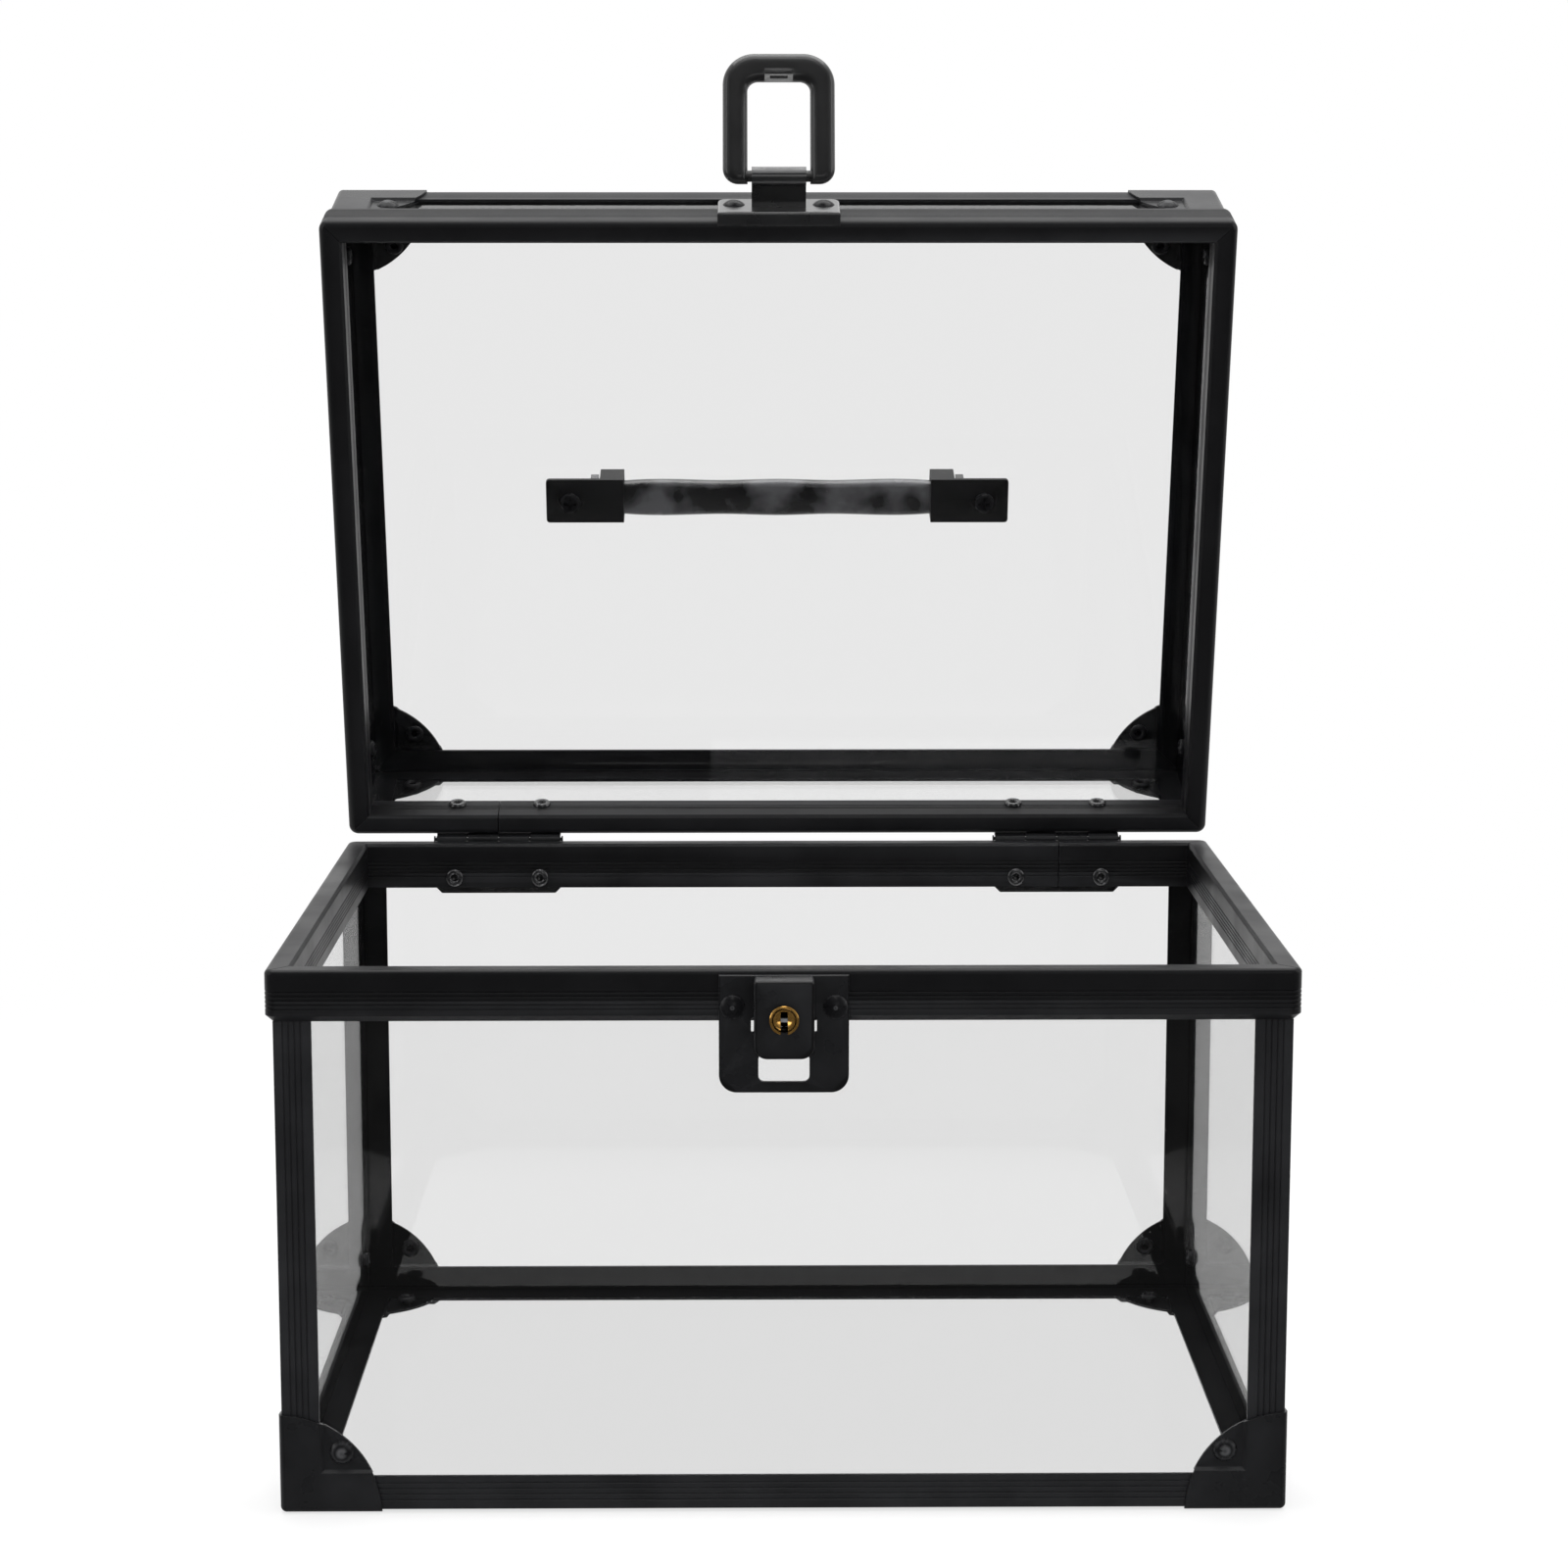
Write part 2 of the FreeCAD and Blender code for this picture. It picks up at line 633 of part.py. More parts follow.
def hasp_loop():
    """The latched loop: two side bars, a far bar with the catch tab behind it, and the pivot bar."""
    reach = loop_inner_reach + loop_far_bar
    length = reach + loop_near_reach
    thick = Vector(0, 0, loop_thickness)
    frame = rounded_rectangle(loop_width, length, loop_near_corner).extrude(thick)
    far_half = rounded_rectangle(loop_width, 2 * length, loop_far_corner).extrude(thick)
    far_half.translate(Vector(0, length / 2, 0))
    opening_width = loop_width - 2 * loop_side_bar
    opening = rounded_rectangle(opening_width, 2 * length, loop_inner_corner).extrude(thick)
    opening.translate(Vector(0, length / 2 + loop_far_bar, 0))
    frame = frame.common(far_half).cut(opening).removeSplitter()
    flat_faces = [face for face in frame.Faces if abs(face.normalAt(0, 0).z) > 0.99]
    frame = frame.makeFillet(loop_edge_round, [edge for face in flat_faces for edge in face.Edges])
    frame.translate(Vector(0, length / 2 - reach, -loop_thickness / 2))
    bar_half = opening_width / 2 + loop_edge_round
    bar = rod((-bar_half, 0, 0), x_axis, hasp_bar_radius, 2 * bar_half)
    loop = frame.multiFuse([catch_tab(), bar]).removeSplitter()
    loop.rotate(origin, x_axis, 90 + hasp_latched_tilt)
    loop.translate(hasp_axis)
    return loop


def catch_tab():
    """The tab behind the loop's far bar, its slot where the latched loop meets the bolt's tongue."""
    tilt = math.radians(hasp_latched_tilt)
    lean = (loop_inner_reach + catch_wall / 2) * math.sin(tilt)
    depth = (bolt_y() + bolt_wall / 2 - hasp_y - lean) / math.cos(tilt)
    slot_low = -depth - catch_slot_length / 2
    tab_y = -loop_inner_reach - catch_wall
    tab = box((-catch_width / 2, tab_y, slot_low - catch_wall), (catch_width / 2, -loop_inner_reach, 0))
    slot_half = catch_slot_width / 2
    return tab.cut(box((-slot_half, tab_y, slot_low), (slot_half, 0, slot_low + catch_slot_length)))


def lock_rivet_seats():
    z = base_height - lock_rivet_drop
    return [(side * lock_rivet_spacing / 2, plate_face_y, z) for side in (-1, 1)]


def lock_plate():
    """The plate under the lock, with a window for the catch, two slits, and rounded lower corners."""
    sizes = (lock_plate_width, lock_plate_top, lock_plate_bottom, lock_plate_corner)
    plate = softened(front_plate(*sizes, plate_face_y, -half_depth), plate_face_y, lock_plate_round)
    plate = plate.mirror(Vector(0, 0, hinge_z), z_axis)
    window = rounded_rectangle(window_width, window_height, window_corner)
    cuts = [front_prism(window, base_height - cover_bottom - window_height / 2, far)]
    for side in (-1, 1):
        x = side * (cover_width + slit_width) / 2
        slit = rounded_rectangle(slit_width, slit_height, slit_corner)
        cuts.append(front_prism(slit, base_height - slit_drop, far).translated(Vector(x, 0, 0)))
    cuts += [rivet_hole(seat, -y_axis) for seat in lock_rivet_seats()]
    return plate.cut(Part.makeCompound(cuts))


def front_prism(face, z, length):
    """A face drawn in XY stood up to face the front, with its middle at z, extruded both ways."""
    solid = face.extrude(Vector(0, 0, length))
    solid.translate(Vector(0, 0, -length / 2))
    solid.rotate(origin, x_axis, 90)
    solid.translate(Vector(0, 0, z))
    return solid


def lock_cover():
    """A pressed box open at its back and its foot, round the bolt."""
    top = base_height - cover_top
    bottom = base_height - cover_bottom
    height = top - bottom
    upper = front_prism(rounded_rectangle(cover_width, 2 * height, cover_top_corner), top - height, far)
    lower = front_prism(rounded_rectangle(cover_width, 2 * height, cover_corner), bottom + height, far)
    outside = upper.common(lower).common(box((-far, cover_face_y, 0), (far, plate_face_y, far)))
    front = [f for f in outside.Faces if abs(f.CenterOfMass.y - cover_face_y) < 1e-6]
    outside = outside.makeFillet(cover_edge_round, front[0].Edges)
    inside_x = cover_width / 2 - cover_wall
    inside_y = cover_face_y + cover_wall
    room = box((-inside_x, inside_y, bottom + cover_corner), (inside_x, far, top - cover_wall))
    throat_x = window_width / 2 - cover_wall
    throat = box((-throat_x, inside_y, 0), (throat_x, far, top - cover_wall))
    hole = rod((0, -far, plug_z), y_axis, plug_radius + plug_clearance, far)
    return outside.cut(Part.makeCompound([room, hole])).cut(throat)


def plug_front_y():
    return cover_face_y - plug_flange_gap - plug_flange_height


def cam_y():
    return cover_face_y + cover_wall + cam_gap


def lock_plug():
    """The brass plug: a ringed flange, a shank through the cover and a neck for the cam."""
    front = plug_front_y()
    shank = front + plug_flange_height
    plug = rod((0, front, plug_z), y_axis, plug_flange_radius, plug_flange_height)
    plug = plug.fuse(rod((0, shank, plug_z), y_axis, plug_radius, cam_y() - shank))
    plug = plug.fuse(rod((0, cam_y(), plug_z), y_axis, plug_neck_radius, cam_wall))
    ring = rod((0, front, plug_z), y_axis, plug_groove_radius + plug_groove_width, plug_groove_depth)
    ring = ring.cut(rod((0, front, plug_z), y_axis, plug_groove_radius, plug_groove_depth))
    half = keyway_width / 2
    keyway = box((-half, front, plug_z - 2 * plug_flange_radius), (half, shank, plug_z + keyway_top))
    keyway_end = front + keyway_depth
    keyhole = box((-half, front, plug_z - plug_neck_radius), (half, keyway_end, plug_z + keyway_top))
    return plug.cut(Part.makeCompound([ring, keyway])).cut(keyhole).removeSplitter()


def lock_wafer():
    """The first wafer, which shows across the keyway."""
    half = keyway_width / 2 - wafer_clearance
    start = plug_front_y() + wafer_set_back
    low = plug_z - wafer_height / 2
    return box((-half, start, low), (half, start + wafer_length, low + wafer_height))


def lock_cam():
    """A disc on the plug's neck, with a crank pin that drives the bolt."""
    disc = rod((0, cam_y(), plug_z), y_axis, cam_radius, cam_wall)
    disc = disc.cut(rod((0, cam_y(), plug_z), y_axis, plug_neck_radius + cam_bore_clearance, cam_wall))
    pin_length = cam_wall + bolt_gap + bolt_wall + bolt_gap
    pin = rod((crank_radius, cam_y(), plug_z), y_axis, crank_pin_radius, pin_length)
    return disc.fuse(pin).removeSplitter()


def bolt_y():
    return cam_y() + cam_wall + bolt_gap


def lock_bolt():
    """A channel that slides down between the cover's sides, with a slot for the crank pin and a tongue."""
    front = bolt_y()
    back = plate_face_y - bolt_gap
    half = cover_width / 2 - cover_wall - bolt_gap
    top = base_height - cover_top - bolt_top_room
    foot = base_height - cover_bottom + bolt_flange_foot + crank_radius
    channel = box((-half, front, foot), (half, back, top))
    channel = channel.cut(box((bolt_wall - half, front + bolt_wall, 0), (half - bolt_wall, far, far)))
    tongue_end = base_height - cover_bottom + bolt_tongue_rest
    tongue_half = bolt_tongue_width / 2
    tongue = box((-tongue_half, front, tongue_end), (tongue_half, front + bolt_wall, foot))
    pin_room = crank_pin_radius + bolt_slot_play
    slot = box(
        (-pin_room, front, plug_z - pin_room - bolt_slot_lead),
        (crank_radius + pin_room, front + bolt_wall, plug_z + pin_room),
    )
    return channel.fuse(tongue).cut(slot).removeSplitter()


# Handle


def handle_bracket():
    """The right bracket: a base with a collar for the strap and a boss for the screw."""
    start = handle_length / 2 - bracket_length
    base = rounded_rectangle(bracket_length, bracket_width, bracket_corner)
    base = base.extrude(Vector(0, 0, bracket_base))
    base.translate(Vector(start + bracket_length / 2, 0, 0))
    opening = strap_thickness + strap_lift + 2 * strap_play
    height = bracket_base + opening + collar_wall
    side = bracket_width / 2
    collar = box((collar_start, -side, 0), (collar_end, side, height))
    top_edges = [e for e in collar.Edges if e.CenterOfMass.z > height / 2]
    collar = collar.makeFillet(collar_round, top_edges)
    half = strap_width / 2 + strap_play
    passage = box((0, -half, bracket_base), (collar_end, half, bracket_base + opening))
    boss = rod((screw_x, 0, 0), z_axis, boss_radius, boss_height)
    boss = boss.makeFillet(boss_round, end_circle(boss, boss_height))
    thread_length = screw_length - panel_thickness
    thread = rod((screw_x, 0, 0), z_axis, screw_radius + screw_clearance, thread_length)
    bracket = base.multiFuse([collar.cut(passage), boss]).cut(thread).removeSplitter()
    bracket.translate(Vector(0, 0, top_z))
    return bracket


def end_circle(shape, z):
    """The round edges of an upright cylinder's end at z."""
    return [edge for edge in shape.Edges if edge.isClosed() and abs(edge.CenterOfMass.z - z) < 1e-6]


def handle_screw():
    """The right screw, put in from inside the lid, with a cross recess."""
    under = top_z - panel_thickness
    low = under - screw_head_height
    x = screw_x
    head = rod((x, 0, low), z_axis, screw_head_radius, screw_head_height)
    head = head.makeFillet(screw_head_round, end_circle(head, low))
    long_half = screw_recess_length / 2
    thin_half = screw_recess_width / 2
    for across, along in ((long_half, thin_half), (thin_half, long_half)):
        head = head.cut(box((x - across, -along, low), (x + across, along, low + screw_recess_depth)))
    return head.fuse(rod((x, 0, under), z_axis, screw_radius, screw_length)).removeSplitter()


def handle_strap():
    """A moulded strap that swells in three places, with a stop beyond each collar."""
    stop = collar_end + strap_stop_gap
    end = stop + strap_stop_length
    half = strap_end_width / 2
    wide = strap_stop_width / 2
    swell_x = collar_start - strap_swell_inset
    stations = [(collar_start, half), (swell_x, strap_width / 2), (strap_waist_offset, strap_waist / 2)]
    stations += [(0, strap_width / 2)] + [(-x, y) for x, y in reversed(stations)]
    steps = [(collar_start, half), (stop, half), (stop, wide), (end, wide)]
    steps += [(x, -y) for x, y in reversed(steps)]
    sides = []
    for sign in (1, -1):
        curve = Part.BSplineCurve()
        curve.interpolate([Vector(sign * x, -sign * y, 0) for x, y in stations])
        sides.append(curve.toShape())
        sides += Part.makePolygon([Vector(-sign * x, -sign * y, 0) for x, y in steps]).Edges
    strap = Part.Face(Part.Wire(sides)).extrude(Vector(0, 0, strap_thickness))
    long_edges = [edge for edge in strap.Edges if is_strap_side(edge, stop)]
    strap = strap.makeFillet(strap_round, long_edges)
    strap.translate(Vector(0, 0, top_z + bracket_base + strap_play))
    return strap


def is_strap_side(edge, stop):
    """True for the edges along the strap's two long sides, between its stops."""
    ends = [v.Point for v in edge.Vertexes]
    lengthwise = len(ends) == 2 and abs(ends[0].x - ends[1].x) > strap_stop_length
    return lengthwise and max(abs(p.x) for p in ends) <= stop + 1e-6


# Assembly


def through(shape, seats, outward):
    """A piece with rivet holes along outward at each seat."""
    return shape.cut(Part.makeCompound([rivet_hole(seat, outward) for seat in seats]))


def base_pieces():
    pieces = {"base_" + name: shape for name, shape in tray(base_height, base_rim_sizes, hinge_x).items()}
    hinge_grip = hinge_leaf_wall + rim_thickness
    lock_grip = lock_plate_wall + rim_thickness
    rear_seats = [seat for x in (-hinge_x, hinge_x) for seat in hinge_rivet_seats(x, base_hinge_rivet_drop)]
    front_seats = lock_rivet_seats()
    pieces["base_rear_panel"] = through(pieces["base_rear_panel"], rear_seats, y_axis)
    pieces["base_front_panel"] = through(pieces["base_front_panel"], front_seats, -y_axis)
    rear_holes = [rod(seat, -y_axis, rivet_hole_radius, 2 * hinge_grip) for seat in rear_seats]
    front_holes = [rod(seat, y_axis, rivet_hole_radius, 2 * lock_grip) for seat in front_seats]
    pieces["base_rim"] = pieces["base_rim"].cut(Part.makeCompound(rear_holes + front_holes))
    pieces["base_hinge_rivets"] = Part.makeCompound([rivet(seat, y_axis, hinge_grip) for seat in rear_seats])
    pieces["lock_rivets"] = Part.makeCompound([rivet(seat, -y_axis, lock_grip) for seat in front_seats])
    for name, side in (("left", -1), ("right", 1)):
        place = Vector(side * hinge_x, 0, 0)
        pieces["hinge_base_leaf_" + name] = hinge_leaf(0, base_hinge_rivet_drop).translated(place)
        pieces["hinge_pin_" + name] = hinge_pin().translated(place)
    pieces["lock_plate"] = lock_plate()
    pieces["lock_cover"] = lock_cover()
    pieces["lock_plug"] = lock_plug()
    pieces["lock_wafer"] = lock_wafer()
    pieces["lock_cam"] = lock_cam()
    pieces["lock_bolt"] = lock_bolt()
    return pieces


def lid_pieces():
    """The lid's pieces as they are with the lid shut and the hasp swung up."""
    names = {"floor_panel": "top_panel"}
    pieces = {}
    for name, shape in tray(lid_height, lid_rim_sizes, -hinge_x).items():
        pieces["lid_" + names.get(name, name)] = inverted(shape)
    hinge_grip = hinge_leaf_wall + rim_thickness
    hasp_grip = hasp_plate_wall + rim_thickness
    rear_seats = []
    for side in (-1, 1):
        for x, y, z in hinge_rivet_seats(side * hinge_x, lid_hinge_rivet_rise):
            rear_seats.append((x, y, 2 * hinge_z - z))
    front_seats = hasp_rivet_seats()
    pieces["lid_rear_panel"] = through(pieces["lid_rear_panel"], rear_seats, y_axis)
    pieces["lid_front_panel"] = through(pieces["lid_front_panel"], front_seats, -y_axis)
    rear_holes = [rod(seat, -y_axis, rivet_hole_radius, 2 * hinge_grip) for seat in rear_seats]
    front_holes = [rod(seat, y_axis, rivet_hole_radius, 2 * hasp_grip) for seat in front_seats]
    pieces["lid_rim"] = pieces["lid_rim"].cut(Part.makeCompound(rear_holes + front_holes))
    pieces["lid_hinge_rivets"] = Part.makeCompound([rivet(seat, y_axis, hinge_grip) for seat in rear_seats])
    pieces["hasp_rivets"] = Part.makeCompound([rivet(seat, -y_axis, hasp_grip) for seat in front_seats])
    for name, side in (("left", -1), ("right", 1)):
        place = Vector(side * hinge_x, 0, 0)
        pieces["hinge_lid_leaf_" + name] = hinge_leaf(1, lid_hinge_rivet_rise).translated(place)
    pieces["hasp_plate"] = hasp_plate()
    loop = hasp_loop()
    loop.rotate(hasp_axis, opening_turn, hasp_opening)
    pieces["hasp_loop"] = loop
    hole_radius = screw_radius + screw_clearance
    screw_holes = [rod((x, handle_set_back, 0), z_axis, hole_radius, far) for x in (-screw_x, screw_x)]
    pieces["lid_top_panel"] = pieces["lid_top_panel"].cut(Part.makeCompound(screw_holes))
    handle = {"handle_bracket_right": handle_bracket(), "handle_bracket_left": mirrored(handle_bracket(), x_axis)}
    handle["handle_screws"] = Part.makeCompound([handle_screw(), mirrored(handle_screw(), x_axis)])
    handle["handle_strap"] = handle_strap()
    for name, shape in handle.items():
        pieces[name] = shape.translated(Vector(0, handle_set_back, 0))
    return pieces


def main():
    pieces = base_pieces()
    for name, shape in lid_pieces().items():
        shape.rotate(hinge_axis, opening_turn, lid_opening)
        pieces[name] = shape
    outline_box = Part.makeCompound(list(pieces.values())).optimalBoundingBox(False)
    for name, shape in pieces.items():
        shape.translate(Vector(0, -outline_box.Center.y, 0))
        shape.exportStep("parts/" + name + ".step")


main()
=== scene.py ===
import json
import math

import bpy
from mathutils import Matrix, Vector

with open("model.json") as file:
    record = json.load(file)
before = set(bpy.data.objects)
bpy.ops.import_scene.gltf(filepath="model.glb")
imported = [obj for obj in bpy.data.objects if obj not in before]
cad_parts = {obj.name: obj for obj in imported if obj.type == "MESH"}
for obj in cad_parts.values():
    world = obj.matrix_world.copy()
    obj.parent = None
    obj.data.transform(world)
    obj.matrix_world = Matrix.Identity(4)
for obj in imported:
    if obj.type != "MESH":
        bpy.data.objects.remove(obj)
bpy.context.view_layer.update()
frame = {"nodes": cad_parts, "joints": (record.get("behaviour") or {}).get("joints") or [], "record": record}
nodes = frame["nodes"]
joints = {joint["name"]: joint for joint in frame["joints"]}
mm = 0.001
print("frame loaded:", len(nodes), "solids")


# Helpers

def linear(hexText):  # sRGB hex to a linear colour
    channels = [int(hexText[i:i + 2], 16) / 255 for i in (1, 3, 5)]
    return [c / 12.92 if c <= 0.04045 else ((c + 0.055) / 1.055) ** 2.4 for c in channels] + [1.0]


def addNode(tree, kind, values=None, feeds=None, **settings):
    node = tree.nodes.new(kind)
    for key, value in settings.items():
        setattr(node, key, value)
    for key, value in (values or {}).items():
        node.inputs[key].default_value = value
    for key, (source, socket) in (feeds or {}).items():
        tree.links.new(source.outputs[socket], node.inputs[key])
    return node


def newMaterial(name):
    material = bpy.data.materials.new(name)
    material.use_nodes = True
    material.node_tree.nodes.clear()
    return material, material.node_tree


def perMetre(sizeMm):  # texture scale for a feature of that size in mm
    return 1 / (sizeMm * mm)


def span(fromPair, toPair=(0.0, 1.0)):  # the values that map one range onto another
    return {"From Min": fromPair[0], "From Max": fromPair[1], "To Min": toPair[0], "To Max": toPair[1]}


# Black metal and plastic: one recipe, each finish with its own look

def blackFinish(name, look):
    material, tree = newMaterial(name)
    place = addNode(tree, "ShaderNodeTexCoord")
    cloud = addNode(tree, "ShaderNodeTexNoise",
                    {"Scale": perMetre(look["cloudMm"]), "Detail": look["cloudDetail"]},
                    {"Vector": (place, "Object")})
    grain = addNode(tree, "ShaderNodeTexNoise",
                    {"Scale": perMetre(look["grainMm"]), "Detail": look["grainDetail"]},
                    {"Vector": (place, "Object")})
    edge = addNode(tree, "ShaderNodeNewGeometry")
    # bare colour on the sharpest edges: rubbed wear, and on the clinched rivets partly a painted highlight on the
    # rims
    wornAndGlint = addNode(tree, "ShaderNodeMapRange", span(look["arris"], (0.0, look["wearAndGlint"])),
                   {"Value": (edge, "Pointiness")})
    patchy = addNode(tree, "ShaderNodeMath", {}, {0: (wornAndGlint, 0), 1: (cloud, "Fac")}, operation="MULTIPLY")
    # this span sets where the light tone lies: on most finishes an even random tone, on the strap a painted
    # reflection in pale patches
    toneAndReflectionSpan = addNode(tree, "ShaderNodeMapRange", span(look["toneAndReflectionSpan"]), {"Value": (cloud, "Fac")})
    tone = addNode(tree, "ShaderNodeMix", {"A": linear(look["dark"]), "B": linear(look["light"])},
                   {"Factor": (toneAndReflectionSpan, 0)}, data_type="RGBA")
    colour = addNode(tree, "ShaderNodeMix", {"B": linear(look["bareAndGlint"])},
                     {"Factor": (patchy, 0), "A": (tone, "Result")}, data_type="RGBA")
    shine = addNode(tree, "ShaderNodeMapRange", span(look["sheen"], look["rough"]), {"Value": (cloud, "Fac")})
    soft = addNode(tree, "ShaderNodeBevel", {"Radius": look["edgeMm"] * mm}, samples=look["edgeSamples"])
    bump = addNode(tree, "ShaderNodeBump", {"Strength": look["bump"], "Distance": look["bumpMm"] * mm},
                   {"Height": (grain, "Fac"), "Normal": (soft, "Normal")})
    shader = addNode(tree, "ShaderNodeBsdfPrincipled",
                     {"Specular IOR Level": look["specular"], "Coat Weight": look["coat"],
                      "Coat Roughness": look["coatRough"]},
                     {"Base Color": (colour, "Result"), "Roughness": (shine, 0), "Normal": (bump, 0)})
    addNode(tree, "ShaderNodeOutputMaterial", {}, {"Surface": (shader, 0)})
    return material


# what the black finishes share: an even tone, no clear coat, and where wear and sheen set in; on the clinched rivets
# that edge colour is partly painted highlight
plainBlack = {"toneAndReflectionSpan": (0.0, 1.0), "coat": 0.0, "coatRough": 0.1, "cloudDetail": 4.0, "grainDetail": 2.0,
              "arris": (0.53, 0.62), "sheen": (0.3, 0.7), "edgeSamples": 4}
# extruded and dyed black: dull satin with a fine grain, a trace of bare metal on the arrises
anodisedLook = dict(plainBlack, dark="#0D0D0E", light="#161618", bareAndGlint="#4A4B4E", cloudMm=22, grainMm=0.5,
                    wearAndGlint=0.35, rough=(0.30, 0.42), edgeMm=0.25, bump=0.10, bumpMm=0.05, specular=0.14)
# pressed sheet, stoved black enamel: smooth semi-gloss with a slight orange peel
enamelLook = dict(plainBlack, dark="#0C0C0D", light="#141415", bareAndGlint="#3C3D40", cloudMm=14, grainMm=1.6,
                  wearAndGlint=0.45, rough=(0.24, 0.34), edgeMm=0.35, bump=0.12, bumpMm=0.08, specular=0.18,
                  coat=0.04, coatRough=0.12)
# cast zinc under black lacquer: fuller gloss, edges rubbed a little brighter
lacquerLook = dict(plainBlack, dark="#0E0E0F", light="#151516", bareAndGlint="#3A3B3E", cloudMm=9, grainMm=2.0,
                   wearAndGlint=0.3, rough=(0.26, 0.34), edgeMm=0.4, bump=0.05, bumpMm=0.05, specular=0.5,
                   coat=0.7, coatRough=0.10)
# the loop has the same lacquer rubbed duller by use, and its bars are worn round
loopLook = dict(lacquerLook, rough=(0.30, 0.38), edgeMm=2.6, specular=0.35, coat=0.4, coatRough=0.14)
# turned rivet steel, blackened: oily sheen, rims a little brighter
rivetLook = dict(plainBlack, dark="#0E0E0F", light="#19191B", bareAndGlint="#9A9B9E", cloudMm=2.5, grainMm=0.6,
                 wearAndGlint=0.4, rough=(0.22, 0.34), edgeMm=0.2, bump=0.10, bumpMm=0.03, specular=0.12)
# the hinges' rivets are clinched on the inside and rubbed by use: shinier; their lighter tone and bright rims are
# partly rubbed wear, partly painted highlight
clinchedLookWearAndGlint = dict(rivetLook, light="#2C2C2E", wearAndGlint=0.9, rough=(0.14, 0.24), specular=0.5, coat=0.5)
# moulded ABS: even black with a fine spark-eroded texture
mouldedLook = dict(plainBlack, dark="#121213", light="#1A1A1B", bareAndGlint="#2C2C2E", cloudMm=12, grainMm=0.35,
                   wearAndGlint=0.2, rough=(0.34, 0.44), edgeMm=0.3, bump=0.14, bumpMm=0.04, specular=0.2)
# soft PVC strap: slick and slightly wavy; its pale patches are painted reflection, a light grey put into the colour
# where the strap would mirror bright surroundings
strapLookPaintedReflection = dict(plainBlack, dark="#121213", light="#5C5C5F", bareAndGlint="#606064", cloudMm=26, grainMm=7.0,
                 wearAndGlint=0.2, toneAndReflectionSpan=(0.40, 0.52), rough=(0.18, 0.30), edgeMm=0.3, bump=0.25, bumpMm=0.3,
                 specular=0.5, coat=0.4, coatRough=0.08)

anodisedAluminium = blackFinish("anodisedAluminiumBlack", anodisedLook)
enamelledSteel = blackFinish("enamelledSteelBlack", enamelLook)
lacqueredZinc = blackFinish("lacqueredZincBlack", lacquerLook)
rubbedZinc = blackFinish("rubbedZincBlack", loopLook)
blackenedRivet = blackFinish("blackenedRivetSteel", rivetLook)
clinchedRivetWearAndGlint = blackFinish("clinchedRivetSteelWearAndGlint", clinchedLookWearAndGlint)
mouldedAbs = blackFinish("mouldedAbsBlack", mouldedLook)
strapPvcPaintedReflection = blackFinish("softPvcBlackPaintedReflection", strapLookPaintedReflection)
print("black finishes made")


# Clear acrylic sheet: cast and polished, faintly grey through its thickness, with hairline scratches

acrylicLook = {"tint": "#F0F0F0", "edgeTint": "#D2D2D2", "lampTint": "#F4F4F4", "slant": 0.5, "ior": 1.49,
               "specular": 0.5, "rough": (0.0, 0.10), "scratchMm": (0.35, 60.0), "scratchDepth": 0.5,
               "scratchTurns": (20, 75, 130), "turnShares": (1.0, 0.7, 1.3), "streak": (0.84, 0.90),
               "speckMm": 6.0, "speck": (0.035, 0.02)}
# the base's front sheet is the clearest, its side sheets greyer at a slant, the lid's front sheet the glossiest
frontLook = dict(acrylicLook, tint="#FEFEFE", edgeTint="#F6F6F6", specular=0.12)
sideLook = dict(acrylicLook, edgeTint="#C0C0C0")
lidFrontLook = dict(acrylicLook, specular=1.0)
# the floor sheet is dulled all over by use, so hardly anything is mirrored in it; its tint, greyer than the other
# sheets', is painted shade standing for the box's shadow on the floor
dulledLookWithPaintedShade = dict(acrylicLook, ior=1.02, tint="#E5E5E5", edgeTint="#E5E5E5")


